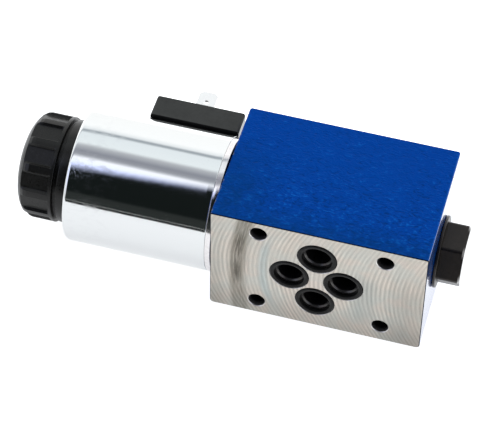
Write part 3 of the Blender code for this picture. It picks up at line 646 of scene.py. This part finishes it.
# ================================================================== the block
def make_body():
    lo, hi = body_lo, body_hi
    bm = box_bm(lo, hi)
    bevel(bm, 1.25 * MM, 4, lambda e: along(e, 1) and e.verts[0].co.z < 0)
    bevel(bm, 0.40 * MM, 3, lambda e: along(e, 1) and e.verts[0].co.z > hi.z - 1e-5
          and (abs(e.verts[0].co.x - lo.x) < 1e-6 or abs(e.verts[0].co.x - hi.x) < 1e-6))
    bevel(bm, 0.35 * MM, 3, lambda e: all(v.co.y > hi.y - 1e-6 for v in e.verts))
    bevel(bm, 0.24 * MM, 1, lambda e: all(v.co.y < 1e-6 for v in e.verts))
    body = new_object("body_block", bm, [MAT["paint"], MAT["face"], MAT["ends"], MAT["bore"],
                                         MAT["edge"]])
    # the two upright corners away from the mounting face are rounder than the rest
    gap = Vector((0.0, 5 * MM, 5 * MM))
    bm = box_bm(lo - gap, hi + Vector((0.0, 0.0, 5 * MM)))
    bevel(bm, 1.35 * MM, 6, lambda e: along(e, 2) and all(v.co.y > hi.y - 1e-6 for v in e.verts))
    cut(body, new_object("c", bm, [MAT["paint"]]), "INTERSECT")
    me = body.data
    for p in me.polygons:
        if p.normal.y < -0.99:
            p.material_index = 1
        elif all(me.vertices[i].co.y < 0.3 * MM for i in p.vertices):
            p.material_index = 4
        elif p.normal.x > 0.3 or p.normal.x < -0.999:
            p.material_index = 2
    c = (0.0, AX_Y, 0.0)
    prof = [(-36, 13.2), (-32, 13.2), (-32, 11.0), (-24, 11.0), (-24, 6.5)]
    for g0, g1 in ((-20, -14.5), (-11.5, -5.5), (-2.5, 2.5), (5.5, 11.5), (14.5, 20)):
        prof += [(g0, 6.5), (g0, 9.5), (g1, 9.5), (g1, 6.5)]
    prof += [(24, 6.5), (24, 7.4), (27, 7.4), (27, 8.9), (32.7, 8.9), (32.7, 10.4), (36, 10.4)]
    cut(body, spun("c", [(-36, 0)] + prof + [(36, 0)], 64, [MAT["bore"]], centre=c, smooth=False))
    depth = {"p": 20.0, "t": 11.0, "a": 15.0, "b": 15.0}
    for k, (x, z) in PORT_C.items():
        d = depth[k]
        p = [(-1, 0), (-1, 6.55), (0, 6.55), (0.15, 6.4), (1.5, 6.4), (1.5, 4.45), (1.95, 4.0),
             (d, 4.0), (d, 0)]
        cut(body, spun("c", p, 72, [MAT["bore"]], axis="Y", centre=(x, 0, z), smooth=False))
    y1 = mm(hi.y)
    for x, z in ((21.5, -15.5), (-19.0, -16.25), (-19.0, 16.25), (21.5, 15.5)):
        p = [(-1, 0), (-1, 2.98), (0, 2.98), (0.22, 2.75), (y1 - 0.8, 2.75), (y1 - 0.8, 4.6),
             (y1 + 1, 4.6), (y1 + 1, 0)]
        cut(body, spun("c", p, 48, [MAT["bore"]], axis="Y", centre=(x * MM, 0, z * MM), smooth=False))
    for lim in ((-18.2, 18.2, 6.5, 11.5, -12.4, -7.4), (-18.0, -15.0, 8.0, 19.0, -11.6, -6.9),
                (15.0, 18.0, 8.0, 19.0, -11.6, -6.9)):
        a, b = [v * MM for v in lim[0::2]], [v * MM for v in lim[1::2]]
        cut(body, new_object("c", box_bm(a, b), [MAT["bore"]]))
    for x in (-15.5, 15.5):
        p = [(y1 - 4.5, 0), (y1 - 4.5, 1.3), (y1 + 1, 1.3), (y1 + 1, 0)]
        cut(body, spun("c", p, 24, [MAT["bore"]], axis="Y", centre=(x * MM, 0, 0), smooth=False))
    shade(body, 32.0)
    return place(body, "valve_body", "valve_body")


def make_port_seals():
    for k, (x, z) in PORT_C.items():
        lo, hi = PORT[k]
        y0, y1 = mm(lo.y), mm(hi.y)
        # square ring whose outer rim stands a little above the rest of its face
        prof = rounded([(y0 + 0.12, 4.95, 0.25), (y0 + 0.12, 5.15, 0.1), (y0, 5.45, 0.3),
                        (y0, 5.95, 0.25), (y0 + 0.25, 6.22, 0.2), (y1 + 0.05, 6.22, 0.25),
                        (y1 + 0.05, 4.78, 0.25), (0.55, 4.78, 0.3)], 4)
        ob = spun("port_ring_" + k, prof, 96, [MAT["rubber"]], axis="Y", centre=(x, 0, z), angle=50)
        place(ob, "valve_body", "port_seal_" + k)


# ================================================================== the coil
def make_can():
    """Drawn sleeve with a rounded closed end and a window for the connector's neck."""
    R, wall = mm(can_hi.z - can_lo.z) / 2, 1.5
    x0, x1 = mm(can_lo.x), mm(can_hi.x)
    wx0, wx1, wz = -65.4, -38.7, 12.7
    rf = 1.3
    outer = []
    for i in range(9):
        a = math.pi / 2 * i / 8
        outer.append((x0 + rf - rf * math.cos(a), R - rf + rf * math.sin(a)))
    outer = [(x0, 9.9), (x0, 14.0)] + outer
    xs = [x0 + rf + (wx0 - x0 - rf) * t for t in (0.33, 0.66)] + [wx0]
    xs += [wx0 + (wx1 - wx0) * t / 5 for t in range(1, 6)] + [x1 - 0.28]
    outer += [(x, R) for x in xs] + [(x1 - 0.13, R - 0.035), (x1 - 0.04, R - 0.12), (x1, R - 0.25)]
    ri = R - wall
    inner = [(x1, ri)] + [(x, ri) for x in reversed(xs[2:8])] + [(x0 + wall + 1.2, ri),
                                                              (x0 + wall, ri - 1.2), (x0 + wall, 9.9)]
    prof = outer + inner
    w_out, w_in = math.asin(wz / R), math.asin(wz / ri)
    n_win, n_rest = 24, 136
    def angles(w):
        out = [-w + 2 * w * k / n_win for k in range(n_win)]
        out += [w + (2 * math.pi - 2 * w) * k / n_rest for k in range(n_rest)]
        return out
    ao, ai = angles(w_out), angles(w_in)
    bm = bmesh.new()
    n = len(prof)
    grid = []
    for k in range(len(ao)):
        row = []
        for i, (a, r) in enumerate(prof):
            phi = ao[k] if i < len(outer) else ai[k]
            row.append(bm.verts.new((a * MM, AX_Y + r * math.cos(phi) * MM, r * math.sin(phi) * MM)))
        grid.append(row)
    io0 = next(i for i, p in enumerate(prof) if abs(p[0] - wx0) < 1e-6)
    io1 = io0 + 5
    ii1 = len(outer) + 1 + 1                   # inner ring at wx1
    ii0 = ii1 + 5
    ii1 = next(i for i in range(len(outer), n) if abs(prof[i][0] - wx1) < 1e-6)
    ii0 = next(i for i in range(len(outer), n) if abs(prof[i][0] - wx0) < 1e-6)
    K = len(ao)
    for k in range(K):
        A, B = grid[k], grid[(k + 1) % K]
        in_win = k < n_win
        for i in range(n):
            j = (i + 1) % n
            if in_win and (io0 <= i < io1 or ii1 <= i < ii0):
                continue
            bm.faces.new((A[i], A[j], B[j], B[i]))
    # the window's walls
    outs, ins = list(range(io0, io1 + 1)), list(range(ii0, ii1 - 1, -1))
    for k, flip in ((0, False), (n_win, True)):
        row = grid[k]
        for s in range(5):
            f = (row[outs[s]], row[outs[s + 1]], row[ins[s + 1]], row[ins[s]])
            bm.faces.new(f if flip else f[::-1])
    for k in range(n_win):
        A, B = grid[k], grid[k + 1]
        bm.faces.new((A[io0], A[ii0], B[ii0], B[io0]))
        bm.faces.new((A[io1], B[io1], B[ii1], A[ii1]))
    ob = new_object("coil_sleeve", bm, [MAT["chrome"]])
    shade(ob, 35.0, False)
    return place(ob, "coil", "coil_can")


def make_base():
    lo, hi = base_lo, base_hi
    y0 = 41.65 * MM
    bm = box_bm((lo.x, y0, lo.z), (hi.x, hi.y, hi.z))
    bevel(bm, 0.9 * MM, 4, lambda e: along(e, 1))
    bevel(bm, 0.45 * MM, 3, lambda e: all(v.co.y > hi.y - 1e-6 for v in e.verts))
    bevel(bm, 0.22 * MM, 2, lambda e: all(v.co.y < y0 + 1e-6 for v in e.verts))
    ob = new_object("connector_block", bm, [MAT["grey"], MAT["grey_lit_end"], MAT["shade_black"]])
    for p in ob.data.polygons:
        # the end facing right takes the lighter painted-light copy
        if p.normal.x > 0.99:
            p.material_index = 1
        # faces turned down towards the sleeve take the near-black painted shade
        elif p.normal.y < -0.3:
            p.material_index = 2
    c = (0, AX_Y, 0)
    cut(ob, spun("c", [(-70, 0), (-70, 22.45), (-30, 22.45), (-30, 0)], 160, [MAT["shade_black"]], centre=c,
                 smooth=False))
    # the neck that joins the sleeve, in the near-black painted shade
    neck = box_bm((-65.1 * MM, 36 * MM, -12.4 * MM), (-39.0 * MM, y0 + 3.5 * MM, 12.4 * MM))
    bevel(neck, 0.8 * MM, 2, lambda e: along(e, 1))
    nk = new_object("n", neck, [MAT["shade_black"]])
    cut(nk, spun("c", [(-70, 0), (-70, 18.4), (-30, 18.4), (-30, 0)], 96, [MAT["shade_black"]], centre=c,
                 smooth=False))
    cut(ob, nk, "UNION")
    slots = []
    for node, pad in (("contact_pin_1", 0.3), ("contact_pin_2", 0.3), ("earth_pin", 0.3)):
        a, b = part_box(node)
        slots.append(box_bm((a.x - pad * MM, a.y - 0.3 * MM, a.z - pad * MM),
                            (b.x + pad * MM, hi.y + 1 * MM, b.z + pad * MM)))
    for s in slots:
        cut(ob, new_object("c", s, [MAT["grey"]]))
    a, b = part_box("contact_pin_1")
    e0, e1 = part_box("earth_pin")
    px = (a.x + b.x) / 2
    ytop = mm(hi.y)
    cut(ob, spun("c", [(ytop - 5, 0), (ytop - 5, 1.5), (ytop - 0.3, 1.5), (ytop, 1.8), (ytop + 1, 1.8),
                       (ytop + 1, 0)], 32, [MAT["grey"]], axis="Y", centre=(px, 0, 0), smooth=False))
    shade(ob, 32.0)
    return place(ob, "coil", "connector_base")


# ================================================================== ring nut and plug
def smooth01(t):
    t = max(0.0, min(1.0, t))
    return t * t * (3 - 2 * t)


def make_nut():
    x1, x0 = mm(nut_hi.x), mm(nut_lo.x)
    pr = rounded([(x1, 12.0, 0.0), (x1, 17.0, 0.5), (-88.0, 17.0, 0.3), (-88.1, 15.7, 0.15),
                  (-89.25, 15.7, 0.15), (-89.35, 17.4, 0.35), (-97.6, 17.4, 0.4),
                  (-98.8, 17.1, 0.5), (-99.9, 16.3, 0.6), (-100.9, 15.0, 0.6),
                  (-101.7, 13.4, 0.6), (-102.3, 11.6, 0.6), (x0, 9.6, 0.6), (x0, 6.0, 0.4),
                  (x0 + 0.5, 5.5, 0.3), (-97.4, 5.5, 0.0), (-97.4, 8.5, 0.0), (-87.6, 8.5, 0.0),
                  (-87.6, 12.0, 0.0)], 4)
    # more rings along the grip so that the pockets have clean walls
    prof = []
    for i, (a, r) in enumerate(pr):
        prof.append((a, r))
        b, s = pr[(i + 1) % len(pr)]
        if r > 16.5 and s > 16.5 and a < -89.3 and abs(b - a) > 2.0:
            n = 34
            for k in range(1, n):
                prof.append((a + (b - a) * k / n, r + (s - r) * k / n))
        elif a < -97.3 and b < -97.3 and r > 10 and s > 10 and (abs(b - a) + abs(s - r)) > 0.5:
            n = 3
            for k in range(1, n):
                prof.append((a + (b - a) * k / n, r + (s - r) * k / n))
    N, phase, half, floor, xp = 12, math.radians(91.5), 2.95, 16.15, -90.6

    def field(a, r, phi):
        if r < 12.3 or a > -89.8:
            return r
        d = (phi - phase + math.pi / N) % (2 * math.pi / N) - math.pi / N
        off = abs(16.6 * math.sin(d))
        p = smooth01((half - off) / 0.50 + 0.5) * smooth01((xp - a) / 0.55 + 0.5)
        return r + (min(r, floor / math.cos(d)) - r) * p

    ob = spun("grip_ring", prof, 480, [MAT["knob"]], centre=(0, AX_Y, 0), field=field, angle=40)
    return place(ob, "ring_nut", "ring_nut")


def make_plug():
    x1 = mm(plug_hi.x)
    af, ph = 18.6, math.radians(124.6)

    def hexr(phi):
        d = (phi - ph + math.pi / 6) % (math.pi / 3) - math.pi / 6     # 0 at a corner
        r = af / 2 / math.cos(math.pi / 6 - abs(d))
        return min(r, af / 2 / math.cos(math.pi / 6) - 0.22)

    pr = rounded([(27.3, 5.8, 0), (27.3, 8.2, 0), (27.7, 8.6, 0), (34.4, 8.6, 0), (34.4, 8.0, 0),
                  (34.9, 8.0, 0), (34.9, 11.7, 0.2), (35.75, 11.7, 0.3), (35.85, 11.1, 0.2),
                  (35.9, 10.74, 0.1), (x1 - 0.70, 10.74, 0.25), (x1 - 0.05, 9.55, 0.2),
                  (x1, 9.0, 0.2), (x1, 0, 0), (40.2, 0, 0), (38.6, 5.8, 0)], 4)
    prof = []
    for i, (a, r) in enumerate(pr):
        prof.append((a, r))
        b, s = pr[(i + 1) % len(pr)]
        if a > 35.8 and r > 9 and b - a > 1.0:
            for k in range(1, 8):
                prof.append((a + (b - a) * k / 8, r + (s - r) * k / 8))

    def field(a, r, phi):
        if a < 35.83 or r < 6.5:
            return r
        h = hexr(phi)
        k = 0.18                                   # soft meeting of the flats and the chamfer
        d = max(k - abs(r - h), 0.0) / k
        return min(r, h) - d * d * k * 0.25

    ob = spun("hexagon_plug", prof, 360, [MAT["oxide"], MAT["oxide_face"]], centre=(0, AX_Y, 0),
              field=field, angle=24)
    for p in ob.data.polygons:
        if p.normal.x > 0.45 and p.center.x > x1 * MM - 0.9 * MM:
            p.material_index = 1
    return place(ob, "valve_body", "end_plug")


def make_coil_seal():
    lo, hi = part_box("coil_seal")
    R = mm(hi.z - lo.z) / 2
    prof = rounded([(mm(lo.x), R - 2.1, 0.2), (mm(lo.x), R, 0.2), (mm(hi.x), R, 0.2),
                    (mm(hi.x), R - 2.1, 0.2)], 5)
    ob = spun("sleeve_ring", prof, 120, [MAT["rubber"]], centre=(0, AX_Y, 0), angle=50)
    return place(ob, "valve_body", "coil_seal")


def make_end_plate():
    """Stepped plate that closes the sleeve, its rim as wide as the sleeve itself."""
    lo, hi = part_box("coil_end_plate")
    a, b, R = mm(lo.x), mm(hi.x), mm(hi.z - lo.z) / 2
    prof = rounded([(a, 9.9, 0.2), (a, 20.3, 0.3), (a + 1.98, 20.3, 0), (a + 1.98, R, 0.08), (b, R, 0.15),
                    (b, 18.4, 0.1), (b - 1.05, 18.4, 0.1), (b - 1.05, 15.6, 0.1), (b, 15.6, 0.1),
                    (b, 9.9, 0.2)], 4)
    ob = spun("sleeve_end_plate", prof, 160, [MAT["zinc"]], centre=(0, AX_Y, 0), angle=45)
    return place(ob, "coil", "coil_end_plate")


def make_spring():
    """Coil spring wound from end to end of the return spring's box."""
    lo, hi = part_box("return_spring")
    wire, turns, per, sides = 0.55, 6.0, 26, 12
    R = mm(hi.z - lo.z) / 2 - wire
    xa, xb = mm(lo.x) + wire, mm(hi.x) - wire            # the wire's centre line, end to end
    n = int(turns * per)
    bm = bmesh.new()
    rings = []
    for i in range(n + 1):
        t = i / n
        a = 2 * math.pi * turns * t
        c = Vector((xa + (xb - xa) * t, R * math.cos(a), R * math.sin(a)))
        tan = Vector(((xb - xa) / (2 * math.pi * turns), -R * math.sin(a), R * math.cos(a))).normalized()
        rad = Vector((0.0, math.cos(a), math.sin(a)))
        bi = tan.cross(rad).normalized()
        ring = []
        for k in range(sides):
            p = 2 * math.pi * k / sides
            q = c + rad * (wire * math.cos(p)) + bi * (wire * math.sin(p))
            ring.append(bm.verts.new((q.x * MM, AX_Y + q.y * MM, q.z * MM)))
        rings.append(ring)
    for A, B in zip(rings, rings[1:]):
        for k in range(sides):
            j = (k + 1) % sides
            bm.faces.new((A[k], B[k], B[j], A[j]))
    bm.faces.new(rings[0])
    bm.faces.new(rings[-1][::-1])
    ob = new_object("spool_spring", bm, [MAT["steel"]])
    shade(ob, 50.0, False)
    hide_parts("return_spring")
    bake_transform(ob)
    return ob


make_body()
make_spring()
make_port_seals()
make_can()
make_base()
make_nut()
make_plug()
make_coil_seal()
make_end_plate()

# carried-over CAD nodes keep their shape and get their finish here
FINISH = {
    "name_plate": "plate", "name_plate_pin_left": "steel_y", "name_plate_pin_right": "steel_y",
    "control_spool": "steel", "spring_plate": "steel", "end_plug_seal": "rubber",
    "pole_tube": "steel", "tube_seal": "rubber", "armature": "steel", "push_pin": "steel",
    "override_pin": "brass", "override_seal": "rubber",
    "coil_bobbin": "nylon", "coil_winding": "wind", "contact_pin_1": "tin", "contact_pin_2": "tin",
    "earth_pin": "tin", "nut_seal": "rubber",
}
for node, key in FINISH.items():
    o = NODES[node]
    o.data.materials.clear()
    o.data.materials.append(MAT[key])

# ================================================================== stage, light, camera
def make_floor():
    bm = bmesh.new()
    bmesh.ops.create_grid(bm, x_segments=1, y_segments=1, size=6.0)
    floor = new_object("studio_floor", bm, [], recalc=False)
    floor.location = (0, 0, FLOOR_Z - 0.00005)
    m = bpy.data.materials.new("studio_floor")
    m.use_nodes = True
    nt = m.node_tree
    nt.nodes.clear()
    out = nt.nodes.new("ShaderNodeOutputMaterial")
    dif = nt.nodes.new("ShaderNodeBsdfDiffuse")
    dif.inputs["Color"].default_value = (0.42, 0.42, 0.42, 1)
    em = nt.nodes.new("ShaderNodeEmission")
    em.inputs["Color"].default_value = (0.985, 0.995, 0.995, 1)
    em.inputs["Strength"].default_value = 0.78
    # the table is lit harder behind the valve and at its right
    tcp = nt.nodes.new("ShaderNodeTexCoord")
    sp = nt.nodes.new("ShaderNodeSeparateXYZ")
    nt.links.new(tcp.outputs["Object"], sp.inputs[0])

    def ramp(sock, a, b, lo, hi):
        m = nt.nodes.new("ShaderNodeMapRange")
        m.interpolation_type = "SMOOTHSTEP"
        for k, v in (("From Min", a), ("From Max", b), ("To Min", lo), ("To Max", hi)):
            m.inputs[k].default_value = v
        nt.links.new(sock, m.inputs["Value"])
        return m.outputs["Result"]

    pool = nt.nodes.new("ShaderNodeMath")
    pool.operation = "MAXIMUM"
    nt.links.new(ramp(sp.outputs[1], 0.050, 0.075, 0.765, 1.30), pool.inputs[0])
    nt.links.new(ramp(sp.outputs[0], 0.030, 0.050, 0.765, 1.30), pool.inputs[1])
    seen = nt.nodes.new("ShaderNodeLightPath")
    lift = nt.nodes.new("ShaderNodeMath")
    lift.operation = "MULTIPLY_ADD"
    lift.inputs[1].default_value = 0.18
    nt.links.new(seen.outputs["Is Camera Ray"], lift.inputs[0])
    nt.links.new(pool.outputs[0], lift.inputs[2])
    nt.links.new(lift.outputs[0], em.inputs["Strength"])
    add = nt.nodes.new("ShaderNodeAddShader")
    nt.links.new(dif.outputs[0], add.inputs[0])
    nt.links.new(em.outputs[0], add.inputs[1])
    # far in front of the valve the table ends: mirror-bright parts see the dark room there
    dark = nt.nodes.new("ShaderNodeEmission")
    dark.inputs["Color"].default_value = (0.026, 0.030, 0.029, 1)
    tc = nt.nodes.new("ShaderNodeTexCoord")
    sep = nt.nodes.new("ShaderNodeSeparateXYZ")
    nt.links.new(tc.outputs["Object"], sep.inputs[0])
    near = nt.nodes.new("ShaderNodeMapRange")
    near.inputs["From Min"].default_value = -0.39
    near.inputs["From Max"].default_value = -0.32
    nt.links.new(sep.outputs[1], near.inputs["Value"])
    lp = nt.nodes.new("ShaderNodeLightPath")
    mx = nt.nodes.new("ShaderNodeMath")
    mx.operation = "MAXIMUM"
    nt.links.new(near.outputs[0], mx.inputs[0])
    nt.links.new(lp.outputs["Is Camera Ray"], mx.inputs[1])
    mix = nt.nodes.new("ShaderNodeMixShader")
    nt.links.new(mx.outputs[0], mix.inputs[0])
    nt.links.new(dark.outputs[0], mix.inputs[1])
    nt.links.new(add.outputs[0], mix.inputs[2])
    nt.links.new(mix.outputs[0], out.inputs[0])
    floor.data.materials.append(m)


def make_world():
    """A studio of broad panels running along the valve: white behind and above, grey
    overhead, a bright edge and the dark room in front."""
    w = bpy.data.worlds.new("studio")
    bpy.context.scene.world = w
    w.use_nodes = True
    nt = w.node_tree
    nt.nodes.clear()
    out = nt.nodes.new("ShaderNodeOutputWorld")
    tc = nt.nodes.new("ShaderNodeTexCoord")
    sep = nt.nodes.new("ShaderNodeSeparateXYZ")
    nt.links.new(tc.outputs["Generated"], sep.inputs[0])

    def math_(op, a, b=None, c=None, clamp=False):
        n = nt.nodes.new("ShaderNodeMath")
        n.operation = op
        n.use_clamp = clamp
        for i, v in enumerate((a, b, c)):
            if v is None:
                continue
            if isinstance(v, bpy.types.NodeSocket):
                nt.links.new(v, n.inputs[i])
            else:
                n.inputs[i].default_value = v
        return n.outputs[0]

    theta = math_("MULTIPLY", math_("ARCTAN2", sep.outputs[2], sep.outputs[1]), 180 / math.pi)
    # 0 at the horizon behind (+Y), 90 overhead, 180 at the horizon in front (-Y)
    pos = math_("DIVIDE", math_("ADD", theta, 180.0), 360.0)
    ramp = nt.nodes.new("ShaderNodeValToRGB")
    nt.links.new(pos, ramp.inputs[0])
    stops = [(-180, (0.95, 0.97, 0.97)), (-60, (0.97, 0.98, 0.98)), (-8, (1.12, 1.12, 1.12)),
             (40, (1.16, 1.17, 1.18)), (48.5, (0.93, 0.97, 1.0)), (51.2, (0.40, 0.44, 0.48)),
             (54.2, (0.40, 0.44, 0.48)), (57.5, (0.90, 0.96, 1.0)), (77.5, (0.94, 1.0, 1.03)),
             (83, (0.53, 0.55, 0.59)), (93, (0.295, 0.31, 0.36)), (98.5, (0.36, 0.375, 0.42)),
             (101.5, (0.52, 0.54, 0.60)),
             (105.5, (1.15, 1.17, 1.25)), (111, (1.12, 1.18, 1.40)), (118, (0.95, 1.05, 1.55)),
             (180, (1.0, 1.0, 1.02))]
    r = ramp.color_ramp
    while len(r.elements) > 1:
        r.elements.remove(r.elements[-1])
    for i, (deg, col) in enumerate(stops):
        col = tuple(1.09 * v for v in col)
        p = (deg + 180.0) / 360.0
        e = r.elements[0] if i == 0 else r.elements.new(p)
        e.position = p
        e.color = (*col, 1)
    # dark room: its upper edge leans a little along the valve
    lean = math_("MULTIPLY", math_("ADD", sep.outputs[0], 0.2), 213.0)
    lean = math_("MINIMUM", math_("MAXIMUM", lean, -6.0), 6.0)
    t2 = math_("ADD", theta, lean)
    mr = nt.nodes.new("ShaderNodeMapRange")
    mr.interpolation_type = "SMOOTHSTEP"
    mr.inputs["From Min"].default_value = 107.5
    mr.inputs["From Max"].default_value = 122.5
    nt.links.new(t2, mr.inputs["Value"])
    side = nt.nodes.new("ShaderNodeMapRange")
    side.interpolation_type = "SMOOTHSTEP"
    side.inputs["From Min"].default_value = 0.42
    side.inputs["From Max"].default_value = 0.60
    side.inputs["To Min"].default_value = 1.0
    side.inputs["To Max"].default_value = 0.0
    nt.links.new(math_("ABSOLUTE", sep.outputs[0]), side.inputs["Value"])
    mask = math_("MULTIPLY", mr.outputs[0], side.outputs[0])
    low = nt.nodes.new("ShaderNodeMapRange")
    low.inputs["From Min"].default_value = 163.0
    low.inputs["From Max"].default_value = 167.0
    nt.links.new(theta, low.inputs["Value"])
    dk = nt.nodes.new("ShaderNodeMix")
    dk.data_type = "RGBA"
    nt.links.new(low.outputs[0], dk.inputs[0])
    rg = [s for s in dk.inputs if s.type == "RGBA"]
    rg[0].default_value = (0.0085, 0.0115, 0.0112, 1)
    rg[1].default_value = (0.030, 0.035, 0.034, 1)
    room = nt.nodes.new("ShaderNodeMix")
    room.data_type = "RGBA"
    nt.links.new(mask, room.inputs[0])
    rr = [s for s in room.inputs if s.type == "RGBA"]
    nt.links.new(ramp.outputs[0], rr[0])
    nt.links.new([s for s in dk.outputs if s.type == "RGBA"][0], rr[1])
    bg = nt.nodes.new("ShaderNodeBackground")
    nt.links.new([s for s in room.outputs if s.type == "RGBA"][0], bg.inputs[0])
    white = nt.nodes.new("ShaderNodeBackground")
    white.inputs[0].default_value = (1.0, 1.0, 1.0, 1)
    white.inputs[1].default_value = 1.05
    lp = nt.nodes.new("ShaderNodeLightPath")
    mix = nt.nodes.new("ShaderNodeMixShader")
    nt.links.new(lp.outputs["Is Camera Ray"], mix.inputs[0])
    nt.links.new(bg.outputs[0], mix.inputs[1])
    nt.links.new(white.outputs[0], mix.inputs[2])
    nt.links.new(mix.outputs[0], out.inputs[0])


def area(name, loc, target, size, watts, color=(1, 1, 1)):
    d = bpy.data.lights.new(name, "AREA")
    d.shape = "RECTANGLE"
    d.size, d.size_y = size
    d.energy = watts
    d.color = color
    o = bpy.data.objects.new(name, d)
    bpy.context.scene.collection.objects.link(o)
    o.location = loc
    o.rotation_mode = "QUATERNION"
    o.rotation_quaternion = (Vector(target) - Vector(loc)).to_track_quat("-Z", "Y")
    return o


def make_camera():
    d = bpy.data.cameras.new("camera")
    d.sensor_width = 36.0
    d.lens = 170.2728
    d.clip_start, d.clip_end = 0.05, 50.0
    o = bpy.data.objects.new("camera", d)
    bpy.context.scene.collection.objects.link(o)
    right = Vector((0.9640043, 0.2653936, 0.0161876))
    up = Vector((-0.211328, 0.7278268, 0.6523869))
    back = Vector((0.1613575, -0.6323247, 0.7577132))
    # half a picture element of aim
    e = 0.5 / (170.2728 / 36.0 * 502)
    back = (back + (right - up) * e).normalized()
    right = (right - back * right.dot(back)).normalized()
    up = back.cross(right)
    rot = Matrix((right, up, back)).transposed().to_4x4()
    o.matrix_world = Matrix.Translation((0.0965199, -0.4616087, 0.5761996)) @ rot
    bpy.context.scene.camera = o


make_floor()
make_world()
make_camera()
key = area("soft_top", (-0.25, 0.30, 0.75), (0, 0.02, 0), (0.5, 0.5), 1.6)
key.visible_glossy = False
scene = bpy.context.scene
scene.view_settings.view_transform = "Standard"
scene.view_settings.look = "None"
